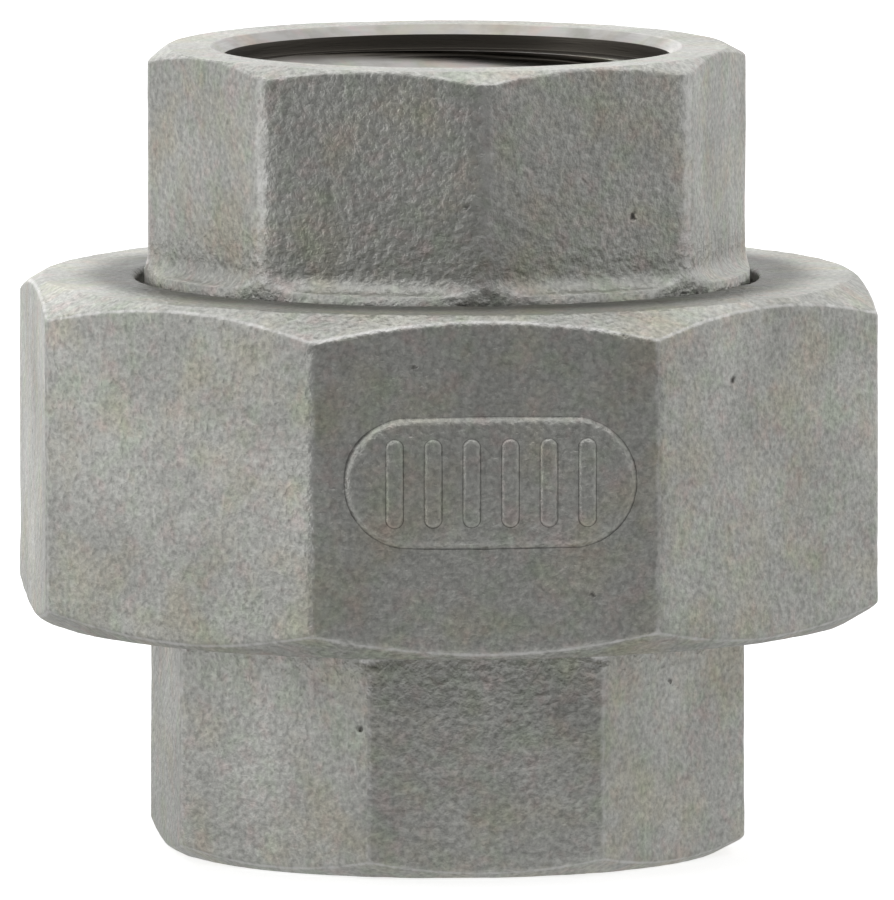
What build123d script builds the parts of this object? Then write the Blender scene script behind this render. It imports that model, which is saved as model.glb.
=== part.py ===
"""A 1/2 inch screwed pipe union in cast stainless steel: head piece, union nut and tail piece.

Millimetres, +Z up the pipe, origin at the centre of the head piece's end face.
The union is drawn tight, as it is in a pipeline, with the nut's front flat near -Y.
"""

import os
from math import copysign, cos, radians, sin, sqrt, tan

from build123d import *

# heights along the pipe
overall_height = 40.0
head_wrench_top = 11.0
nut_bottom = 11.6
nut_top = 28.6
neck_foot = 28.9

# wrench flats, eight on each piece
wrench_sides = 8
sector = 360 / wrench_sides
tail_across_flats = 27.93
nut_across_flats = 41.35
head_across_flats = 28.27
corner_rounding = 0.5

# the angle from -Y, anticlockwise from above, at which one flat of each piece faces
tail_turn = -15.08
nut_turn = 5.24
head_turn = 7.89

# chamfers turned on the ends of the wrench flats
end_chamfer_angle = 28
nut_chamfer_angle = 30
tail_face_radius = 13.9
nut_face_radius = 20.15
head_face_radius = 13.6
head_shoulder_radius = 14.8

# tail piece: round neck, collar under the nut's lip, and ball nose
neck_radius = 15.05
runout_rounding = 1.0
collar_radius = 16.7
collar_top = 25.4
collar_bottom = 22.4
nose_bottom = 18.4

# seat: a ball on a 45 degree cone, nearest at this radius and height
seat_radius = 12.7
seat_height = 19.6
seat_gap = 0.08

# union nut: hole in the lip, relief above the thread, and mouth
lip_hole_radius = 15.5
relief_radius = 18.3
relief_bottom = 21.2
nut_mouth_radius = 18.5

# union thread, 60 degree form, right-handed
union_pitch = 2.0
half_thread_angle = 30
head_thread_crest = 17.9
head_thread_root = 16.7
head_root_flat = 0.33
nut_thread_crest = 16.95
nut_thread_root = 18.1
nut_root_flat = 0.35
crest_relief = 0.1
union_thread_start = 200

# head piece: undercut below its thread, and lead-in at its top
head_top = 21.9
undercut_radius = 16.4
undercut_top = 12.4
lead_in = 0.9

# pipe ports, 1/2-14 NPT: a straight tap drill, then a tapered tap
pipe_pitch = 25.4 / 14
pipe_major_radius = 10.61
pipe_taper_angle = 1.79
pipe_thread_depth = 13.0
pipe_thread_height = 1.45
pipe_root_flat = 0.07
head_port_start = 215
tail_port_start = 25
tap_drill_radius = 9.25
bore_radius = 9.05
port_face_radius = 11.7
port_step_radius = 10.75
port_step_depth = 0.6

# raised pad for size marks, on the nut's front flat
pad_length = 14.2
pad_width = 6.3
pad_rise = 0.25
pad_shift = 0.25
pad_middle = 20.4
mark_count = 6
mark_spacing = 1.9
mark_length = 4.4
mark_width = 0.9
mark_rise = 0.15

# how far the cutting tools reach past the metal
overrun = 0.4


def facing(turn):
    """The upright plane through the pipe's axis that faces outwards at the angle turn."""
    across = (cos(radians(turn)), sin(radians(turn)), 0)
    outward = (sin(radians(turn)), -cos(radians(turn)), 0)
    return Plane(origin=(0, 0, 0), x_dir=across, z_dir=outward)


def octagon_prism(across_flats, turn, bottom, top):
    """An octagonal bar with rounded corners, with one flat facing the angle turn."""
    with BuildSketch(Plane.XY.offset(bottom)) as section:
        RegularPolygon(
            radius=across_flats / 2,
            side_count=wrench_sides,
            major_radius=False,
            rotation=turn - 90 + sector / 2,
        )
        fillet(section.vertices(), corner_rounding)
    extrude(section.sketch, amount=top - bottom)


def turned(outline, mode):
    """Revolve an outline of (radius, height) points about the pipe's axis."""
    with BuildSketch(Plane.XZ) as section:
        with BuildLine():
            Polyline(outline, close=True)
        make_face()
    revolve(section.sketch, axis=Axis.Z, mode=mode)


def past_corners(across_flats):
    """A radius just outside the corners of an octagon."""
    return across_flats / 2 / cos(radians(sector / 2)) + overrun


def fall(from_radius, to_radius, angle):
    """How far a turned chamfer falls between two radii."""
    return (to_radius - from_radius) * tan(radians(angle))


def cut_thread(root_radius, full_radius, root_flat, pitch, bottom, height, start, cone_angle=0):
    """Cut a right-handed helical groove with a flat root, widening until full_radius.

    It starts at the angle start, anticlockwise from +X, clear of the seams of the turned faces.
    """
    half_root = root_flat / 2
    half_full = half_root + abs(full_radius - root_radius) * tan(radians(half_thread_angle))
    open_radius = full_radius + copysign(overrun, full_radius - root_radius)
    outward = (cos(radians(start)), sin(radians(start)), 0)
    sideways = (sin(radians(start)), -cos(radians(start)), 0)
    with BuildLine(Plane(origin=(0, 0, bottom), x_dir=outward)) as coil:
        Helix(pitch, height, root_radius, cone_angle=cone_angle)
    with BuildSketch(Plane(origin=(0, 0, bottom), x_dir=outward, z_dir=sideways)) as groove:
        with BuildLine():
            Polyline(
                (open_radius, -half_full),
                (full_radius, -half_full),
                (root_radius, -half_root),
                (root_radius, half_root),
                (full_radius, half_full),
                (open_radius, half_full),
                close=True,
            )
        make_face()
    sweep(groove.sketch, path=coil.line, is_frenet=True, mode=Mode.SUBTRACT)


def cut_port(face, inward, start):
    """Drill, countersink and tap a pipe port in the end face at height face; inward is +1 or -1.

    The tap's helix starts at the angle start.
    """
    step = face + inward * port_step_depth
    crest_start = step + inward * (port_step_radius - tap_drill_radius)
    drill_end = face + inward * pipe_thread_depth
    opening = [
        (0, face),
        (port_face_radius, face),
        (port_step_radius, step),
        (tap_drill_radius, crest_start),
        (tap_drill_radius, drill_end),
        (0, drill_end),
    ]
    turned(opening, Mode.SUBTRACT)

    # the tap's groove starts one pitch outside the face and closes in with depth
    taper = tan(radians(pipe_taper_angle))
    outer_end = face - inward * pipe_pitch
    inner_end = drill_end - inward * pipe_pitch
    outer_radius = pipe_major_radius + pipe_pitch * taper
    inner_radius = pipe_major_radius - abs(inner_end - face) * taper
    start_radius = outer_radius if inward > 0 else inner_radius
    cut_thread(
        start_radius,
        start_radius - pipe_thread_height,
        pipe_root_flat,
        pipe_pitch,
        min(outer_end, inner_end),
        abs(inner_end - outer_end),
        start,
        cone_angle=-inward * pipe_taper_angle,
    )


# Head piece: octagonal end with a port, a threaded barrel and a conical seat
with BuildPart() as head_piece:
    octagon_prism(head_across_flats, head_turn, 0, head_wrench_top)
    head_outside = past_corners(head_across_flats)
    wrench_envelope = [
        (0, 0),
        (head_face_radius, 0),
        (head_outside, fall(head_face_radius, head_outside, end_chamfer_angle)),
        (head_outside, head_wrench_top - fall(head_shoulder_radius, head_outside, end_chamfer_angle)),
        (head_shoulder_radius, head_wrench_top),
        (0, head_wrench_top),
    ]
    turned(wrench_envelope, Mode.INTERSECT)

    barrel = [
        (0, head_wrench_top),
        (head_shoulder_radius, head_wrench_top),
        (undercut_radius, nut_bottom),
        (undercut_radius, undercut_top),
        (head_thread_crest, undercut_top + head_thread_crest - undercut_radius),
        (head_thread_crest, head_top - lead_in),
        (head_thread_crest - lead_in, head_top),
        (0, head_top),
    ]
    turned(barrel, Mode.ADD)

    # the flow bore opens into the seat, which stands off the ball by seat_gap
    cone_apex = seat_height - seat_radius - seat_gap
    bore_and_seat = [
        (0, pipe_thread_depth),
        (bore_radius, pipe_thread_depth),
        (bore_radius, cone_apex + bore_radius),
        (head_top - cone_apex, head_top),
        (0, head_top),
    ]
    turned(bore_and_seat, Mode.SUBTRACT)

    cut_thread(
        head_thread_root,
        head_thread_crest + crest_relief,
        head_root_flat,
        union_pitch,
        nut_bottom,
        head_top - nut_bottom + union_pitch,
        union_thread_start,
    )
    cut_port(0, 1, head_port_start)

# Union nut: octagon chamfered at both ends, threaded below its inward lip
with BuildPart() as union_nut:
    octagon_prism(nut_across_flats, nut_turn, nut_bottom, nut_top)
    nut_outside = past_corners(nut_across_flats)
    chamfer_fall = fall(nut_face_radius, nut_outside, nut_chamfer_angle)
    nut_section = [
        (nut_thread_crest, nut_bottom + nut_mouth_radius - nut_thread_crest),
        (nut_mouth_radius, nut_bottom),
        (nut_face_radius, nut_bottom),
        (nut_outside, nut_bottom + chamfer_fall),
        (nut_outside, nut_top - chamfer_fall),
        (nut_face_radius, nut_top),
        (lip_hole_radius, nut_top),
        (lip_hole_radius, collar_top),
        (relief_radius, collar_top),
        (relief_radius, relief_bottom),
        (nut_thread_crest, relief_bottom - relief_radius + nut_thread_crest),
    ]
    turned(nut_section, Mode.INTERSECT)

    # half a pitch out of step with the head piece's groove, so that ridges lie in grooves
    cut_thread(
        nut_thread_root,
        nut_thread_crest - crest_relief,
        nut_root_flat,
        union_pitch,
        nut_bottom - union_pitch / 2,
        relief_bottom - nut_bottom + union_pitch,
        union_thread_start,
    )

    # size pad with plain bars, raised on the front flat
    flat = facing(nut_turn).offset(nut_across_flats / 2)
    with BuildSketch(flat):
        with Locations((pad_shift, pad_middle)):
            SlotOverall(pad_length, pad_width)
    extrude(amount=pad_rise)
    with BuildSketch(flat.offset(pad_rise)):
        with Locations((pad_shift, pad_middle)):
            with GridLocations(mark_spacing, 0, mark_count, 1):
                SlotOverall(mark_length, mark_width, rotation=90)
    extrude(amount=mark_rise)

# Tail piece: octagonal end with a port, round neck, collar and ball nose
with BuildPart() as tail_piece:
    ball_radius = seat_radius * sqrt(2)
    ball_centre = seat_height + seat_radius
    nose_radius = sqrt(ball_radius**2 - (ball_centre - nose_bottom) ** 2)
    ball_edge_radius = sqrt(ball_radius**2 - (ball_centre - collar_bottom) ** 2)
    chamfer_foot = overall_height - fall(tail_face_radius, neck_radius, end_chamfer_angle)
    with BuildSketch(Plane.XZ):
        with BuildLine():
            Polyline(
                (ball_edge_radius, collar_bottom),
                (collar_radius, collar_bottom),
                (collar_radius, collar_top),
                (neck_radius, collar_top),
                (neck_radius, chamfer_foot),
                (tail_face_radius, overall_height),
                (bore_radius, overall_height),
                (bore_radius, nose_bottom),
                (nose_radius, nose_bottom),
            )
            RadiusArc((nose_radius, nose_bottom), (ball_edge_radius, collar_bottom), -ball_radius)
        make_face()
    revolve(axis=Axis.Z)

    # eight flats milled down to the neck, each running out in a hollow curve
    flat_radius = tail_across_flats / 2
    curve_end = flat_radius + runout_rounding
    flat_planes = [facing(tail_turn + 90 + sector * side) for side in range(wrench_sides)]
    with BuildSketch(*flat_planes):
        with BuildLine():
            Polyline(
                (flat_radius, neck_foot + runout_rounding),
                (flat_radius, overall_height + overrun),
                (past_corners(tail_across_flats), overall_height + overrun),
                (past_corners(tail_across_flats), neck_foot),
                (curve_end, neck_foot),
            )
            RadiusArc((curve_end, neck_foot), (flat_radius, neck_foot + runout_rounding), runout_rounding)
        make_face()
    extrude(amount=neck_radius / 2, both=True, mode=Mode.SUBTRACT)
    cut_port(overall_height, -1, tail_port_start)

head_piece.part.label = "head_piece"
union_nut.part.label = "union_nut"
tail_piece.part.label = "tail_piece"

os.makedirs("parts", exist_ok=True)
export_step(head_piece.part, "parts/head_piece.step")
export_step(union_nut.part, "parts/union_nut.step")
export_step(tail_piece.part, "parts/tail_piece.step")
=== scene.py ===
from math import atan2, cos, exp, hypot, pi, radians, sin, sqrt, tan

import bmesh
import bpy
from mathutils import Matrix, Vector, noise


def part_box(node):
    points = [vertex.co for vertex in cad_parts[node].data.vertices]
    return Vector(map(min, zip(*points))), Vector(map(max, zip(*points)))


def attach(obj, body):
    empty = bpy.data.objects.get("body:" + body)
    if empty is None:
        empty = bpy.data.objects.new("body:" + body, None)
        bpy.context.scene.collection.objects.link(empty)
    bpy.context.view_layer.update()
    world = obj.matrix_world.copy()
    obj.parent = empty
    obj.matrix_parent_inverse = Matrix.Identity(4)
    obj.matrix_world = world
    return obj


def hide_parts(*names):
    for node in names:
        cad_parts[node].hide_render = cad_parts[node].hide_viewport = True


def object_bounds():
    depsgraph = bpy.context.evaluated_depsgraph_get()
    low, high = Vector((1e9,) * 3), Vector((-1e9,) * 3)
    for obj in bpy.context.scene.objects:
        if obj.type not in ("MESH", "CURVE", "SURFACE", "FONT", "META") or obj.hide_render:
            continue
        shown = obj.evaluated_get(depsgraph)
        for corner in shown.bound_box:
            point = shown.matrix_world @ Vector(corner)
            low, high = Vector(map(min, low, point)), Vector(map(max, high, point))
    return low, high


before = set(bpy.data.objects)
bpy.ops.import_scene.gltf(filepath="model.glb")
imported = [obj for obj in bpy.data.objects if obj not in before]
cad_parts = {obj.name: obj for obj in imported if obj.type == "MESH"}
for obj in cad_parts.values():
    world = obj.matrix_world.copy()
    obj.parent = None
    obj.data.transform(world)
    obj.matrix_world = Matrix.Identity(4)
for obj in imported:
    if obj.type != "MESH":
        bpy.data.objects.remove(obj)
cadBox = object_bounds()
mm = 0.001
sides = 8                                   # wrench flats on every piece
sector = 2 * pi / sides
threadSlope = 1 / tan(radians(30))          # 60 degree threads


def heightsOf(node):
    low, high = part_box(node)
    return low.z / mm, high.z / mm


headBottom, headTop = heightsOf("head_piece")
nutBottom, nutTop = heightsOf("union_nut")
tailBottom, tailTop = heightsOf("tail_piece")
print("frame loaded")


def smoothMin(a, b, width):
    overlap = max(width - abs(a - b), 0) / width
    return min(a, b) - overlap * overlap * width / 4


def smoothStep(low, high, x):
    t = min(max((x - low) / (high - low), 0), 1)
    return t * t * (3 - 2 * t)


def roundCorner(before, corner, after, rounding, segments):
    # an arc in place of a corner of the outline
    toBefore = (before - corner).normalized()
    toAfter = (after - corner).normalized()
    half = toBefore.angle(toAfter) / 2
    tangent = rounding / tan(half)
    centre = corner + (toBefore + toAfter).normalized() * rounding / sin(half)
    start = corner + toBefore * tangent - centre
    end = corner + toAfter * tangent - centre
    turn = start.angle_signed(end)
    return [centre + Matrix.Rotation(-turn * i / segments, 2) @ start for i in range(segments + 1)]


def outlineRows(outline, segments=4):
    # outline points are (radius, height, rounding, longest step to the next point)
    points = [Vector(p[:2]) for p in outline]
    count = len(points)
    corners = []
    for i, (r, z, rounding, step) in enumerate(outline):
        if rounding:
            corners.append(roundCorner(points[i - 1], points[i], points[(i + 1) % count], rounding, segments))
        else:
            corners.append([points[i]])
    rows = []
    for i, arc in enumerate(corners):
        rows += arc
        nextStart = corners[(i + 1) % count][0]
        pieces = max(1, round((nextStart - arc[-1]).length / outline[i][3]))
        rows += [arc[-1].lerp(nextStart, k / pieces) for k in range(1, pieces)]
    return rows


def spinOutline(rows, columns, firstAngle):
    # a closed outline spun about the pipe's axis, starting on a corner of the octagon
    bm = bmesh.new()
    verts = [bm.verts.new((r * cos(firstAngle), r * sin(firstAngle), z)) for r, z in rows]
    edges = [bm.edges.new((verts[i - 1], verts[i])) for i in range(len(verts))]
    bmesh.ops.spin(bm, geom=verts + edges, cent=(0, 0, 0), axis=(0, 0, 1), dvec=(0, 0, 0),
                   angle=2 * pi, steps=columns, use_merge=True, use_duplicate=False)
    bmesh.ops.remove_doubles(bm, verts=bm.verts, dist=1e-4)
    bmesh.ops.recalc_face_normals(bm, faces=bm.faces)
    return bm


def octagonRadius(angle, flats, rounding):
    # distance to the octagon's side at this angle, with its corners rounded
    apothem = flats / 2
    offset = abs((angle + sector / 2) % sector - sector / 2)
    near, far = cos(offset), cos(sector - offset)
    width = 0.3045 * rounding / apothem
    overlap = max(width - (near - far), 0) / width
    return apothem / (near + overlap * overlap * width / 4)


def threadRadius(angle, z, thread):
    # radius of the groove's flank at this place; inside threads have a negative slope
    turnsUp = (z - thread["phase"]) / thread["pitch"] - angle / (2 * pi)
    fromGroove = abs((turnsUp + 0.5) % 1 - 0.5) * thread["pitch"]
    rise = max(fromGroove - thread["rootFlat"] / 2, 0) * threadSlope
    root = thread["root"] - thread.get("taper", 0) * abs(z - thread["mouth"])
    fade = smoothStep(thread["fadeEnd"], thread["fadeStart"], abs(z - thread["mouth"]))
    if thread["inside"]:
        return (root - rise) * fade + thread["crest"] * (1 - fade)
    return (root + rise) * fade + thread["crest"] * (1 - fade)


def castRelief(place, amount):
    # slow unevenness of a cast face, and its finer orange peel
    slow = noise.noise(place * 0.23) + 0.5 * noise.noise(place * 0.55 + Vector((7, 3, 5)))
    fine = noise.noise(place * 1.6 + Vector((1, 9, 4)))
    return amount * (slow + 0.45 * fine)


def shapePiece(bm, piece):
    # presses the turned shape into its octagon, cuts its threads, marks edge wear with a painted highlight
    # and marks painted shade, roughens cast faces
    middle = radians(piece["turn"] - 90)
    warp = 0.75 / sides
    wear = bm.verts.layers.float.new("wear")
    for vert in bm.verts:
        r = hypot(vert.co.x, vert.co.y)
        z = vert.co.z
        raw = atan2(vert.co.y, vert.co.x) - middle
        angle = raw + warp * sin(sides * raw)       # crowds the columns together at the corners
        world = angle + middle
        edge = 0
        if piece["isWrench"](r, z):
            flats = piece["flats"] + 2 * piece["runout"](z)
            side = octagonRadius(angle, flats, piece["rounding"])
            offset = abs((angle + sector / 2) % sector - sector / 2)
            toCorner = (sector / 2 - offset) * side
            # corners, and the arcs where the chamfers meet the flats, are marked for rubbed wear together
            # with a painted highlight
            if r > side - 0.25:
                edge = piece["cornerRubAndHighlight"] * exp(-(toCorner / 0.3) ** 2)
            edge = max(edge, exp(-((r - side) / 0.22) ** 2) * piece["edgeRubAndHighlight"])
            r = smoothMin(r, side, 0.35)
        for thread in piece["threads"]:
            if thread["low"] <= z <= thread["high"]:
                if thread["inside"] and r < thread["within"]:
                    r = max(r, threadRadius(world, z, thread))
                if not thread["inside"] and r > thread["within"]:
                    r = min(r, threadRadius(world, z, thread))
        vert.co = (r * cos(world), r * sin(world), z)
        # the attribute holds edge wear with a painted highlight as positive values and painted shade as
        # negative ones
        vert[wear] = edge - piece["paintedShade"](r, z)
    bm.normal_update()
    moves = []
    for vert in bm.verts:
        r = hypot(vert.co.x, vert.co.y)
        amount = piece["castAmount"](r, vert.co.z)
        if amount:
            place = vert.co + Vector((0, 0, piece["seed"]))
            moves.append((vert, vert.normal * castRelief(place, amount)))
    for vert, move in moves:
        vert.co += move


def finishPiece(bm, name, body, node, materials, isMachined=None):
    bmesh.ops.scale(bm, vec=(mm, mm, mm), verts=bm.verts)
    for face in bm.faces:
        face.smooth = True
        if isMachined:
            centre = face.calc_center_median() / mm
            face.material_index = int(isMachined(hypot(centre.x, centre.y), centre.z))
    mesh = bpy.data.meshes.new(name)
    bm.to_mesh(mesh)
    bm.free()
    piece = bpy.data.objects.new(name, mesh)
    bpy.context.scene.collection.objects.link(piece)
    for material in materials:
        mesh.materials.append(material)
    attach(piece, body)
    if node:
        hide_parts(node)
    print("made", name, len(mesh.polygons), "faces")
    return piece


def addNode(tree, kind, values=None, **settings):
    node = tree.nodes.new(kind)
    for name, value in settings.items():
        setattr(node, name, value)
    for name, value in (values or {}).items():
        node.inputs[name].default_value = value
    return node


def mathNode(tree, operation, first, second=None, clamp=False):
    node = addNode(tree, "ShaderNodeMath", operation=operation, use_clamp=clamp)
    for socket, value in zip(node.inputs, (first, second)):
        if isinstance(value, (int, float)):
            socket.default_value = value
        elif value is not None:
            tree.links.new(value, socket)
    return node.outputs[0]


def mapRange(tree, value, fromLow, fromHigh, toLow, toHigh):
    node = addNode(tree, "ShaderNodeMapRange", {
        "From Min": fromLow, "From Max": fromHigh, "To Min": toLow, "To Max": toHigh})
    tree.links.new(value, node.inputs["Value"])
    return node.outputs["Result"]


def noiseNode(tree, vector, scale, detail=2.0, roughness=0.5, distortion=0.0):
    node = addNode(tree, "ShaderNodeTexNoise", {
        "Scale": scale, "Detail": detail, "Roughness": roughness, "Distortion": distortion})
    tree.links.new(vector, node.inputs["Vector"])
    return node


def mixColor(tree, factor, first, second, blend="MIX"):
    node = addNode(tree, "ShaderNodeMix", data_type="RGBA", blend_type=blend)
    for socket, value in ((node.inputs[0], factor), (node.inputs[6], first), (node.inputs[7], second)):
        if isinstance(value, (int, float, tuple)):
            socket.default_value = value
        else:
            tree.links.new(value, socket)
    return node.outputs[2]


def newGroup(name, inputs, outputs):
    group = bpy.data.node_groups.new(name, "ShaderNodeTree")
    for label, kind, value in inputs:
        socket = group.interface.new_socket(label, in_out="INPUT", socket_type=kind)
        if value is not None:
            socket.default_value = value
    for label, kind in outputs:
        group.interface.new_socket(label, in_out="OUTPUT", socket_type=kind)
    return group, group.nodes.new("NodeGroupInput"), group.nodes.new("NodeGroupOutput")


def grey(level, warmth=0.0):
    return (level * (1 + warmth), level, level * (1 - 1.4 * warmth), 1)


def makeBlastedGrain():
    # fine sandy grain of a blasted casting, with scattered pits
    group, start, end = newGroup(
        "blastedGrain",
        [("Vector", "NodeSocketVector", None), ("Grain", "NodeSocketFloat", 4.0),
         ("Pitting", "NodeSocketFloat", 1.0)],
        [("Height", "NodeSocketFloat"), ("Pits", "NodeSocketFloat"), ("Speckle", "NodeSocketFloat")])
    tree = group
    vector = start.outputs["Vector"]
    coarse = noiseNode(tree, vector, 1.1, 2, 0.5).outputs["Fac"]
    scale = start.outputs["Grain"]
    grain = noiseNode(tree, vector, 4, 3, 0.62)
    tree.links.new(scale, grain.inputs["Scale"])
    pebble = addNode(tree, "ShaderNodeTexVoronoi", feature="SMOOTH_F1")
    pebble.inputs["Smoothness"].default_value = 0.6
    tree.links.new(vector, pebble.inputs["Vector"])
    tree.links.new(mathNode(tree, "MULTIPLY", scale, 0.55), pebble.inputs["Scale"])
    pitCells = addNode(tree, "ShaderNodeTexVoronoi", {"Scale": 0.75, "Randomness": 1.0}, feature="F1")
    warped = addNode(tree, "ShaderNodeVectorMath", operation="ADD")
    bend = addNode(tree, "ShaderNodeVectorMath", operation="SCALE")
    bend.inputs["Scale"].default_value = 0.35
    tree.links.new(noiseNode(tree, vector, 3.0, 2).outputs["Color"], bend.inputs[0])
    tree.links.new(vector, warped.inputs[0])
    tree.links.new(bend.outputs[0], warped.inputs[1])
    tree.links.new(warped.outputs[0], pitCells.inputs["Vector"])
    chosen = mapRange(tree, noiseNode(tree, vector, 0.33, 1).outputs["Fac"], 0.66, 0.72, 0, 1)
    pit = mathNode(tree, "MULTIPLY", mapRange(tree, pitCells.outputs["Distance"], 0.17, 0.06, 0, 1), chosen)
    pit = mathNode(tree, "MULTIPLY", pit, start.outputs["Pitting"])
    height = mathNode(tree, "ADD", mathNode(tree, "MULTIPLY", grain.outputs["Fac"], 0.8),
                      mathNode(tree, "MULTIPLY", pebble.outputs["Distance"], 0.45))
    height = mathNode(tree, "ADD", height, mathNode(tree, "MULTIPLY", coarse, 0.9))
    height = mathNode(tree, "SUBTRACT", height, mathNode(tree, "MULTIPLY", pit, 0.8))
    tree.links.new(height, end.inputs["Height"])
    tree.links.new(pit, end.inputs["Pits"])
    tree.links.new(grain.outputs["Fac"], end.inputs["Speckle"])
    return group


def makePickledTint():
    # faint warm, green and pink blotches left by pickling
    group, start, end = newGroup(
        "pickledTint",
        [("Vector", "NodeSocketVector", None), ("Base", "NodeSocketColor", grey(0.5)),
         ("Amount", "NodeSocketFloat", 1.0)],
        [("Color", "NodeSocketColor"), ("Patches", "NodeSocketFloat")])
    tree = group
    vector = start.outputs["Vector"]
    amount = start.outputs["Amount"]
    patches = noiseNode(tree, vector, 0.16, 4, 0.6).outputs["Fac"]
    tone = mapRange(tree, patches, 0.3, 0.7, 0.9, 1.1)
    shade = addNode(tree, "ShaderNodeVectorMath", operation="SCALE")
    tree.links.new(start.outputs["Base"], shade.inputs[0])
    tree.links.new(tone, shade.inputs["Scale"])
    color = shade.outputs[0]
    for scale, low, high, tint in ((0.3, 0.48, 0.68, (1.05, 1.0, 0.88, 1)),
                                   (0.55, 0.5, 0.7, (0.93, 1.02, 0.9, 1)),
                                   (0.8, 0.52, 0.72, (1.1, 0.95, 0.96, 1))):
        offset = addNode(tree, "ShaderNodeVectorMath", operation="ADD")
        offset.inputs[1].default_value = (scale * 50, 0, scale * 20)
        tree.links.new(vector, offset.inputs[0])
        blotch = noiseNode(tree, offset.outputs[0], scale, 3, 0.55).outputs["Fac"]
        mask = mapRange(tree, blotch, low, high, 0, 1)
        tinted = mixColor(tree, 1.0, color, tint, "MULTIPLY")
        color = mixColor(tree, mathNode(tree, "MULTIPLY", mask, amount), color, tinted)
    tree.links.new(color, end.inputs["Color"])
    tree.links.new(patches, end.inputs["Patches"])
    return group


def makeRubbedEdge():
    # bright rubbed metal along edges, partly a painted highlight, broken up by noise
    group, start, end = newGroup(
        "rubbedEdge",
        [("Vector", "NodeSocketVector", None), ("Wear", "NodeSocketFloat", 0.0),
         ("Spread", "NodeSocketFloat", 1.0)],
        [("Mask", "NodeSocketFloat")])
    tree = group
    broken = noiseNode(tree, start.outputs["Vector"], 1.3, 4, 0.7).outputs["Fac"]
    reach = mathNode(tree, "MULTIPLY", start.outputs["Wear"], start.outputs["Spread"])
    mask = mathNode(tree, "SUBTRACT", mathNode(tree, "ADD", reach, broken), 1.0)
    tree.links.new(mapRange(tree, mask, -0.05, 0.35, 0, 1), end.inputs["Mask"])
    return group


blastedGrain = makeBlastedGrain()
pickledTint = makePickledTint()
rubbedEdge = makeRubbedEdge()


def startMaterial(name):
    material = bpy.data.materials.new(name)
    material.use_nodes = True
    tree = material.node_tree
    shader = tree.nodes["Principled BSDF"]
    place = addNode(tree, "ShaderNodeTexCoord")
    toMm = addNode(tree, "ShaderNodeMapping")
    toMm.inputs["Scale"].default_value = (1 / mm, 1 / mm, 1 / mm)
    tree.links.new(place.outputs["Object"], toMm.inputs["Vector"])
    return material, tree, shader, toMm.outputs["Vector"]


def addGroup(tree, group, vector, **values):
    node = addNode(tree, "ShaderNodeGroup", node_tree=group)
    tree.links.new(vector, node.inputs["Vector"])
    for name, value in values.items():
        node.inputs[name].default_value = value
    return node


castLook = {
    "steel": (0.57, 0.572, 0.542, 1),
    # lighter metal along edges: rubbed wear and a painted highlight
    "wornAndHighlight": grey(0.85, 0.01),
    "pit": grey(0.1, 0.05),
    "roughness": (0.4, 0.52),
    "grainSize": 3.6,
    "bumpStrength": 1.0,
    "bumpDepth": 0.11 * mm,
    "speckle": (0.74, 1.24),
    "crease": 0.33,                         # how dark the painted shade is in the pad's creases and round the tail's neck
}


def makeCastSteel():
    material, tree, shader, vector = startMaterial("castSteel")
    grain = addGroup(tree, blastedGrain, vector, Grain=castLook["grainSize"], Pitting=1.0)
    tint = addGroup(tree, pickledTint, vector, Base=castLook["steel"], Amount=0.7)
    edge = addGroup(tree, rubbedEdge, vector, Spread=1.0)
    wear = addNode(tree, "ShaderNodeAttribute", attribute_name="wear")
    tree.links.new(wear.outputs["Fac"], edge.inputs["Wear"])
    speckle = mapRange(tree, grain.outputs["Speckle"], 0.3, 0.7, *castLook["speckle"])
    # painted shade: negative values darken the pad's creases and the ring round the tail's neck
    crease = mapRange(tree, wear.outputs["Fac"], -1.0, 0.0, castLook["crease"], 1.0)
    speckle = mathNode(tree, "MULTIPLY", speckle, crease)
    shade = addNode(tree, "ShaderNodeVectorMath", operation="SCALE")
    tree.links.new(tint.outputs["Color"], shade.inputs[0])
    tree.links.new(speckle, shade.inputs["Scale"])
    # edges are lightened: rubbed wear together with a painted highlight
    rubbed = mathNode(tree, "MULTIPLY", edge.outputs["Mask"], 0.7)
    color = mixColor(tree, rubbed, shade.outputs[0], castLook["wornAndHighlight"])
    color = mixColor(tree, grain.outputs["Pits"], color, castLook["pit"])
    tree.links.new(color, shader.inputs["Base Color"])
    low, high = castLook["roughness"]
    rough = mapRange(tree, tint.outputs["Patches"], 0.3, 0.7, high, low)
    rough = mathNode(tree, "SUBTRACT", rough, mathNode(tree, "MULTIPLY", edge.outputs["Mask"], 0.1))
    tree.links.new(rough, shader.inputs["Roughness"])
    shader.inputs["Metallic"].default_value = 1.0
    bump = addNode(tree, "ShaderNodeBump", {
        "Strength": castLook["bumpStrength"], "Distance": castLook["bumpDepth"]})
    tree.links.new(grain.outputs["Height"], bump.inputs["Height"])
    tree.links.new(bump.outputs["Normal"], shader.inputs["Normal"])
    return material


turnedLook = {
    "steel": grey(0.5, 0.02),
    "stain": grey(0.3, 0.06),
    "recessShade": grey(0.1, 0.1),
    "roughness": (0.28, 0.45),
    "lineScale": 14.0,
    "bumpStrength": 0.35,
    "bumpDepth": 0.02 * mm,
}


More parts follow.
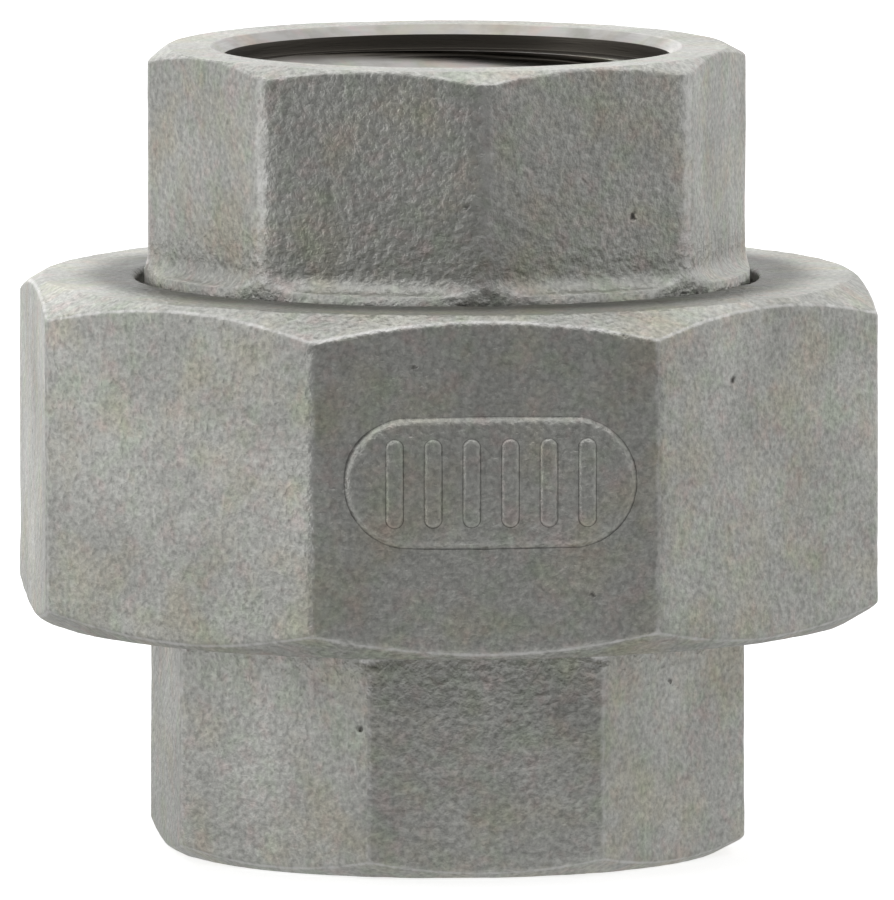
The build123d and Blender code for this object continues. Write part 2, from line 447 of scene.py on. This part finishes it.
def makeTurnedSteel():
    # machined in a lathe: fine rings round the axis, lightly stained
    material, tree, shader, vector = startMaterial("turnedSteel")
    squash = addNode(tree, "ShaderNodeMapping")
    squash.inputs["Scale"].default_value = (0.04, 0.04, 1.0)
    tree.links.new(vector, squash.inputs["Vector"])
    rings = noiseNode(tree, squash.outputs["Vector"], turnedLook["lineScale"], 2, 0.6).outputs["Fac"]
    tint = addGroup(tree, pickledTint, vector, Base=turnedLook["steel"], Amount=1.0)
    stain = mapRange(tree, noiseNode(tree, vector, 0.5, 4, 0.65).outputs["Fac"], 0.45, 0.7, 0, 0.6)
    color = mixColor(tree, stain, tint.outputs["Color"], turnedLook["stain"])
    wear = addNode(tree, "ShaderNodeAttribute", attribute_name="wear")
    # painted shade: darker colour in the port's recess and thread roots
    dirty = mapRange(tree, wear.outputs["Fac"], -1.0, 0.0, 1, 0)
    color = mixColor(tree, dirty, color, turnedLook["recessShade"])
    tree.links.new(color, shader.inputs["Base Color"])
    low, high = turnedLook["roughness"]
    tree.links.new(mapRange(tree, rings, 0.3, 0.7, low, high), shader.inputs["Roughness"])
    shader.inputs["Metallic"].default_value = 1.0
    bump = addNode(tree, "ShaderNodeBump", {
        "Strength": turnedLook["bumpStrength"], "Distance": turnedLook["bumpDepth"]})
    tree.links.new(rings, bump.inputs["Height"])
    tree.links.new(bump.outputs["Normal"], shader.inputs["Normal"])
    return material


castSteel = makeCastSteel()
turnedSteel = makeTurnedSteel()
print("materials made")


# the pipe ports are the same in both ends
port = {
    "faceRadius": 11.7,
    "stepRadius": 11.1,
    "stepDepth": 0.45,
    "recessDepth": 1.15,                    # plain recess before the first full thread
    "leadDepth": 0.12,
    "drillRadius": 9.25,
    "boreRadius": 9.05,
    "depth": 13.0,
    "pitch": 25.4 / 14,
    "majorRadius": 10.61,
    "taper": tan(radians(1.79)),
    "rootFlat": 0.07,
    "threadStep": 0.125,
}


def portOutline(face, inward):
    # from the end face down to the flow bore; inward is +1 or -1
    step = face + inward * port["stepDepth"]
    recess = face + inward * port["recessDepth"]
    crestStart = recess + inward * port["leadDepth"]
    drillEnd = face + inward * port["depth"]
    return [
        (port["faceRadius"], face, 0.2, 0.3),
        (port["stepRadius"], step, 0.04, 0.2),
        (port["stepRadius"] - 0.05, recess, 0.04, 0.13),
        (port["drillRadius"], crestStart, 0, port["threadStep"]),
        (port["drillRadius"], drillEnd, 0, 0.2),
        (port["boreRadius"], drillEnd + inward * 0.1, 0, 1.0),
    ]


def portGrime(r, depth):
    # painted shade: darker deep in the recess and in the roots of the thread
    return smoothStep(9.8, 10.5, r) if r < 11.2 and port["stepDepth"] < depth < port["depth"] else 0


def portThread(face, inward, startAngle):
    # the groove passes startAngle one pitch outside the lower port's face, or above the upper port's foot
    start = face - inward * port["pitch"] if inward > 0 else face - port["depth"] + port["pitch"]
    return {
        "inside": True, "pitch": port["pitch"], "root": port["majorRadius"], "crest": port["drillRadius"],
        "rootFlat": port["rootFlat"], "taper": port["taper"], "mouth": face,
        "phase": start - port["pitch"] * startAngle / 360,
        "fadeStart": port["depth"] - 3.4, "fadeEnd": port["depth"] - 1.0,
        "low": min(face, face + inward * port["depth"]), "high": max(face, face + inward * port["depth"]),
        "within": port["faceRadius"] - 0.6,
    }


# the union thread is shared by the head piece and the nut
unionThread = {"pitch": 2.0, "startAngle": 200, "headRoot": 16.7, "headCrest": 17.9,
               "nutRoot": 18.1, "nutCrest": 16.95, "rootFlat": 0.34, "step": 0.11}


def unionGroove(inside, mouth, length):
    start = nutBottom - (unionThread["pitch"] / 2 if inside else 0)
    kind = "nut" if inside else "head"
    return {
        "inside": inside, "pitch": unionThread["pitch"], "root": unionThread[kind + "Root"],
        "crest": unionThread[kind + "Crest"], "rootFlat": unionThread["rootFlat"], "mouth": mouth,
        "phase": start - unionThread["pitch"] * unionThread["startAngle"] / 360,
        "fadeStart": length - 0.3, "fadeEnd": length + 1.2,
        "low": mouth - 0.01 if inside else mouth - length - 2,
        "high": mouth + length + 1 if inside else mouth + 0.01,
        "within": 18.2 if inside else 16.3,
    }


# the head piece is the lower end
head = {
    "flats": 28.27, "turn": 7.89, "rounding": 0.7, "wrenchTop": 11.0,
    "faceRadius": 13.6, "shoulderRadius": 15.0, "endAngle": 28,
    "undercutRadius": 16.4, "undercutTop": 12.4, "leadIn": 0.9,
    "seatFoot": 6.82, "columns": 288,
}


def makeHead():
    h = head
    outer = h["flats"] / 2 / cos(sector / 2) + 0.5
    slope = tan(radians(h["endAngle"]))
    crest = unionThread["headCrest"]
    outline = portOutline(headBottom, 1) + [
        (port["boreRadius"], h["seatFoot"] + port["boreRadius"], 0.15, 0.7),
        (headTop - h["seatFoot"], headTop, 0.12, 0.5),
        (crest - h["leadIn"], headTop, 0.1, 0.12),
        (crest, headTop - h["leadIn"], 0, unionThread["step"]),
        (crest, h["undercutTop"] + crest - h["undercutRadius"], 0, unionThread["step"]),
        (h["undercutRadius"], h["undercutTop"], 0.2, 0.4),
        (h["undercutRadius"], nutBottom, 0.2, 0.4),
        (h["shoulderRadius"] + 0.4, h["wrenchTop"] + 0.1, 0.3, 0.3),
        (h["shoulderRadius"], h["wrenchTop"], 0.25, 0.15),
        (outer, h["wrenchTop"] - (outer - h["shoulderRadius"]) * slope - 0.5, 0.3, 0.4),
        (outer, (outer - h["faceRadius"]) * slope, 0.2, 0.12),
        (h["faceRadius"], headBottom, 0.25, 0.4),
    ]
    bm = spinOutline(outlineRows(outline), h["columns"], radians(h["turn"] - 90) + sector / 2)
    shapePiece(bm, {
        "turn": h["turn"], "flats": h["flats"], "rounding": h["rounding"], "seed": 11.0, "edgeRubAndHighlight": 0.75,
        "cornerRubAndHighlight": 0.6, "paintedShade": lambda r, z: portGrime(r, z - headBottom),
        "isWrench": lambda r, z: r > 12 and z < h["wrenchTop"] + 0.05,
        "runout": lambda z: 0,
        "threads": [portThread(headBottom, 1, 215),
                    unionGroove(False, headTop, headTop - h["undercutTop"] - 1)],
        "castAmount": lambda r, z: 0.03 if r > 12.6 and z < 11.4 else 0,
    })
    return finishPiece(bm, "head_casting", "head", "head_piece", [castSteel, turnedSteel],
                       lambda r, z: r < 11.9 or z > 11.7)


nut = {
    "flats": 41.35, "turn": 5.24, "rounding": 0.8, "faceRadius": 20.15, "endAngle": 30,
    "lipHole": 15.5, "lipDepth": 3.2, "relief": 18.3, "reliefBottom": 21.2, "mouth": 18.5,
    "columns": 320, "neckGrime": 0.95,
}


def neckGrime(r, depth):
    # painted shade and painted reflection: a darker ring on the top face, close round the tail piece's neck
    return nut["neckGrime"] * smoothStep(19.3, 16.8, r) if depth < 0.6 else 0


def makeNut():
    n = nut
    outer = n["flats"] / 2 / cos(sector / 2) + 0.5
    drop = (outer - n["faceRadius"]) * tan(radians(n["endAngle"]))
    crest = unionThread["nutCrest"]
    lip = nutTop - n["lipDepth"]
    outline = [
        (n["faceRadius"], nutTop, 0.35, 0.45),
        (n["lipHole"], nutTop, 0.3, 0.6),
        (n["lipHole"], lip, 0.1, 0.5),
        (n["relief"], lip, 0.2, 0.8),
        (n["relief"], n["reliefBottom"], 0, 0.15),
        (crest, n["reliefBottom"] - n["relief"] + crest, 0, unionThread["step"]),
        (crest, nutBottom + n["mouth"] - crest, 0, 0.15),
        (n["mouth"], nutBottom, 0.15, 0.45),
        (n["faceRadius"], nutBottom, 0.35, 0.13),
        (outer, nutBottom + drop, 0.3, 0.42),
        (outer, nutTop - drop, 0.3, 0.13),
    ]
    bm = spinOutline(outlineRows(outline), n["columns"], radians(n["turn"] - 90) + sector / 2)
    shapePiece(bm, {
        "turn": n["turn"], "flats": n["flats"], "rounding": n["rounding"], "seed": 37.0, "edgeRubAndHighlight": 0.8,
        "cornerRubAndHighlight": 0.6, "paintedShade": lambda r, z: neckGrime(r, nutTop - z),
        "isWrench": lambda r, z: r > 19,
        "runout": lambda z: 0,
        "threads": [unionGroove(True, nutBottom, n["reliefBottom"] - nutBottom)],
        "castAmount": lambda r, z: 0.04 if r > 18.7 or (r > 15.2 and z > nutTop - 0.4) else 0,
    })
    return finishPiece(bm, "nut_casting", "nut", "union_nut", [castSteel, turnedSteel],
                       lambda r, z: r < 18.6 and z < nutTop - 1.0)


# the raised pad on the nut's front flat, with plain bars where a size would be
pad = {
    "length": 14.2, "width": 6.3, "rise": 0.25, "shift": 0.25, "height": 20.4,
    "markCount": 6, "markSpacing": 1.9, "markLength": 4.4, "markWidth": 0.9,
}


def addStadium(bm, length, width, base, steps, centre):
    # a flat face with round ends, then insets that raise it with a soft edge
    circle = bmesh.ops.create_circle(bm, cap_ends=True, segments=40, radius=width / 2)
    half = (length - width) / 2
    for vert in circle["verts"]:
        if abs(vert.co.x) < 1e-6:
            continue
        vert.co.x += half if vert.co.x > 0 else -half
    faces = list({face for vert in circle["verts"] for face in vert.link_faces})
    bmesh.ops.translate(bm, verts=circle["verts"], vec=(centre[0], centre[1], base))
    for thickness, depth in steps:
        bmesh.ops.inset_individual(bm, faces=faces, thickness=thickness, depth=depth, use_even_offset=True)
    return faces


def makePad():
    p = pad
    bm = bmesh.new()
    rise = p["rise"]
    addStadium(bm, p["length"] + 0.5, p["width"] + 0.5, -0.06,
               [(0.13, 0.07), (0.1, rise * 0.3), (0.08, rise * 0.35), (0.1, rise * 0.25), (0.15, rise * 0.1)],
               (0, 0))
    marks = bmesh.new()
    for i in range(p["markCount"]):
        across = (i - (p["markCount"] - 1) / 2) * p["markSpacing"]
        addStadium(marks, p["markLength"] + 0.16, p["markWidth"] + 0.16, rise - 0.03,
                   [(0.08, 0.05), (0.07, 0.07), (0.08, 0.05), (0.1, 0.01)], (0, across))
    bmesh.ops.rotate(marks, verts=marks.verts, cent=(0, 0, 0), matrix=Matrix.Rotation(pi / 2, 3, "Z"))
    holder = bpy.data.meshes.new("marks")
    marks.to_mesh(holder)
    marks.free()
    bm.from_mesh(holder)
    bpy.data.meshes.remove(holder)
    turn = radians(nut["turn"])
    across = Vector((cos(turn), sin(turn), 0))
    outward = Vector((sin(turn), -cos(turn), 0))
    up = Vector((0, 0, 1))
    origin = outward * nut["flats"] / 2 + across * p["shift"] + up * p["height"]
    placed = Matrix((across, up, outward)).transposed().to_4x4()
    placed.translation = origin
    bmesh.ops.transform(bm, matrix=placed, verts=bm.verts)
    bmesh.ops.recalc_face_normals(bm, faces=bm.faces)
    wear = bm.verts.layers.float.new("wear")
    # the pad's foot and the feet of its bars get painted shade, stored as negative values
    for vert in bm.verts:
        above = (vert.co - origin).dot(outward)
        atBarFoot = rise - 0.01 <= above < rise + 0.03 and vert.normal.dot(outward) < 0.98
        vert[wear] = -1.0 if above < 0.05 or atBarFoot else 0.0
    return finishPiece(bm, "nut_size_pad", "nut", None, [castSteel])


# the tail piece is the upper end
tail = {
    "flats": 27.93, "turn": -15.08, "rounding": 0.8, "faceRadius": 13.9, "endAngle": 28,
    "neckRadius": 15.05, "neckFoot": 28.9, "runout": 1.0,
    "collarRadius": 16.7, "collarTop": 25.4, "collarBottom": 22.4,
    "seatRadius": 12.7, "seatHeight": 19.6, "columns": 288,
}


def makeTail():
    t = tail
    ballRadius = t["seatRadius"] * sqrt(2)
    ballCentre = t["seatHeight"] + t["seatRadius"]

    def ballAt(z):
        return sqrt(ballRadius ** 2 - (ballCentre - z) ** 2)

    def runout(z):
        # the flat curves outwards as it reaches the neck
        above = min(max(t["neckFoot"] + t["runout"] - z, 0), t["runout"])
        return t["runout"] - sqrt(t["runout"] ** 2 - above ** 2)

    ballHeights = [tailBottom + (t["collarBottom"] - tailBottom) * i / 8 for i in range(9)]
    slope = tan(radians(t["endAngle"]))
    outer = t["neckRadius"]
    outline = portOutline(tailTop, -1) + [
        (port["boreRadius"], tailBottom, 0.12, 0.5),
        *[(ballAt(z), z, 0, 0.5) for z in ballHeights],
        (t["collarRadius"], t["collarBottom"], 0.12, 0.5),
        (t["collarRadius"], t["collarTop"], 0.12, 0.5),
        (outer, t["collarTop"], 0.1, 0.6),
        (outer, t["neckFoot"], 0, 0.1),
        (outer, t["neckFoot"] + 1.6, 0, 0.42),
        (outer, tailTop - 1.2, 0, 0.12),
        (outer, tailTop - (outer - t["faceRadius"]) * slope, 0.2, 0.12),
        (t["faceRadius"], tailTop, 0.22, 0.3),
    ]
    bm = spinOutline(outlineRows(outline), t["columns"], radians(t["turn"] - 90) + sector / 2)
    shapePiece(bm, {
        "turn": t["turn"], "flats": t["flats"], "rounding": t["rounding"], "seed": 73.0, "edgeRubAndHighlight": 0.6,
        "cornerRubAndHighlight": 0.6, "paintedShade": lambda r, z: portGrime(r, tailTop - z),
        "isWrench": lambda r, z: r > 12.2 and z > t["neckFoot"],
        "runout": runout,
        "threads": [portThread(tailTop, -1, 308)],
        "castAmount": lambda r, z: 0.03 if r > 12.4 and z > 28.0 else 0,
    })
    return finishPiece(bm, "tail_casting", "tail", "tail_piece", [castSteel, turnedSteel],
                       lambda r, z: r < 11.9 or z < 26.5)


makeHead()
makeNut()
makePad()
makeTail()


studio = {
    "floorColor": (0.9, 0.9, 0.9, 1),
    "floorGlow": 0.68,
    "nearFloor": 0.5,                      # how bright the floor beside the object mirrors in it
    "nearReach": (0.03, 0.11),
    "backdrop": (1.0, 1.0, 1.0, 1),
    "overheadLevel": 0.95,
    "sunLevel": 0.15,
    "sunSpread": 70,
    "sunToward": (-0.2, 0.25, 1.0),
    "floorReach": 4.0,
    # the tent's brightness around the object, in degrees from the pad's side, right-handed from above
    "tent": [(-180, 0.98), (-166, 1.75), (-145, 0.66), (-110, 0.6), (-85, 0.84), (-68, 1.04), (-50, 0.36),
             (-30, 0.22), (0, 0.22), (35, 0.24), (60, 0.38), (80, 0.49), (107, 0.7), (140, 0.62), (162, 1.0),
             (180, 0.98)],
}


def tentLevel(tree, across, along):
    turn = mathNode(tree, "ARCTAN2", across, mathNode(tree, "MULTIPLY", along, -1.0))
    ramp = addNode(tree, "ShaderNodeValToRGB")
    tree.links.new(mapRange(tree, turn, -pi, pi, 0, 1), ramp.inputs["Fac"])
    stops = ramp.color_ramp.elements
    for degree, level in studio["tent"][1:-1]:
        stops.new((degree + 180) / 360)
    for stop, (degree, level) in zip(stops, studio["tent"]):
        stop.color = grey(level)
    return ramp.outputs["Color"]


def makeFloor():
    bm = bmesh.new()
    bmesh.ops.create_grid(bm, x_segments=2, y_segments=2, size=studio["floorReach"])
    mesh = bpy.data.meshes.new("floor")
    bm.to_mesh(mesh)
    bm.free()
    floor = bpy.data.objects.new("floor", mesh)
    bpy.context.scene.collection.objects.link(floor)
    material = bpy.data.materials.new("paleFloor")
    material.use_nodes = True
    tree = material.node_tree
    shader = tree.nodes["Principled BSDF"]
    place = addNode(tree, "ShaderNodeTexCoord")
    split = addNode(tree, "ShaderNodeSeparateXYZ")
    tree.links.new(place.outputs["Object"], split.inputs[0])
    away = addNode(tree, "ShaderNodeVectorMath", operation="LENGTH")
    tree.links.new(place.outputs["Object"], away.inputs[0])
    near, far = studio["nearReach"]
    beside = mapRange(tree, away.outputs["Value"], near, far, 0, 1)
    level = tentLevel(tree, split.outputs["X"], split.outputs["Y"])
    mirrored = mixColor(tree, beside, grey(studio["nearFloor"]), level)
    path = addNode(tree, "ShaderNodeLightPath")
    glossy = path.outputs["Is Glossy Ray"]
    tree.links.new(mixColor(tree, glossy, studio["floorColor"], grey(0.0)), shader.inputs["Base Color"])
    tree.links.new(mixColor(tree, glossy, studio["backdrop"], mirrored), shader.inputs["Emission Color"])
    glow = mathNode(tree, "MULTIPLY", path.outputs["Is Camera Ray"], studio["floorGlow"])
    tree.links.new(mathNode(tree, "ADD", glow, glossy), shader.inputs["Emission Strength"])
    shader.inputs["Roughness"].default_value = 0.9
    shader.inputs["Specular IOR Level"].default_value = 0.0
    mesh.materials.append(material)


def makeWorld():
    world = bpy.data.worlds.new("studio")
    bpy.context.scene.world = world
    world.use_nodes = True
    tree = world.node_tree
    background = tree.nodes["Background"]
    place = addNode(tree, "ShaderNodeTexCoord")
    split = addNode(tree, "ShaderNodeSeparateXYZ")
    tree.links.new(place.outputs["Generated"], split.inputs[0])
    level = tentLevel(tree, split.outputs["X"], split.outputs["Y"])
    up = mapRange(tree, split.outputs["Z"], 0.45, 0.95, 0, 1)
    level = mixColor(tree, up, level, grey(studio["overheadLevel"]))
    path = addNode(tree, "ShaderNodeLightPath")
    seen = mixColor(tree, path.outputs["Is Camera Ray"], level, studio["backdrop"])
    tree.links.new(seen, background.inputs["Color"])


def addSun(name, toward, energy, spread):
    data = bpy.data.lights.new(name, "SUN")
    data.energy = energy
    data.angle = radians(spread)
    light = bpy.data.objects.new(name, data)
    light.rotation_euler = (-Vector(toward)).to_track_quat("-Z", "Y").to_euler()
    bpy.context.scene.collection.objects.link(light)


view = {
    "place": (0, -1.364, 0.1665),
    "lens": 1103,
    "sensor": 36,
    "aimBelowMiddle": 0.2 * mm,
    "farthest": 20,
}


def makeCamera():
    low, high = cadBox
    middle = (low.z + high.z) / 2 - view["aimBelowMiddle"]
    data = bpy.data.cameras.new("camera")
    data.sensor_width = view["sensor"]
    data.lens = view["lens"]
    data.clip_end = view["farthest"]
    camera = bpy.data.objects.new("camera", data)
    camera.location = view["place"]
    toward = Vector((0, 0, middle)) - camera.location
    camera.rotation_euler = toward.to_track_quat("-Z", "Y").to_euler()
    bpy.context.scene.collection.objects.link(camera)
    bpy.context.scene.camera = camera


makeFloor()
makeWorld()
addSun("overhead", studio["sunToward"], studio["sunLevel"], studio["sunSpread"])
makeCamera()
bpy.context.scene.view_settings.view_transform = "Standard"
print("stage set")
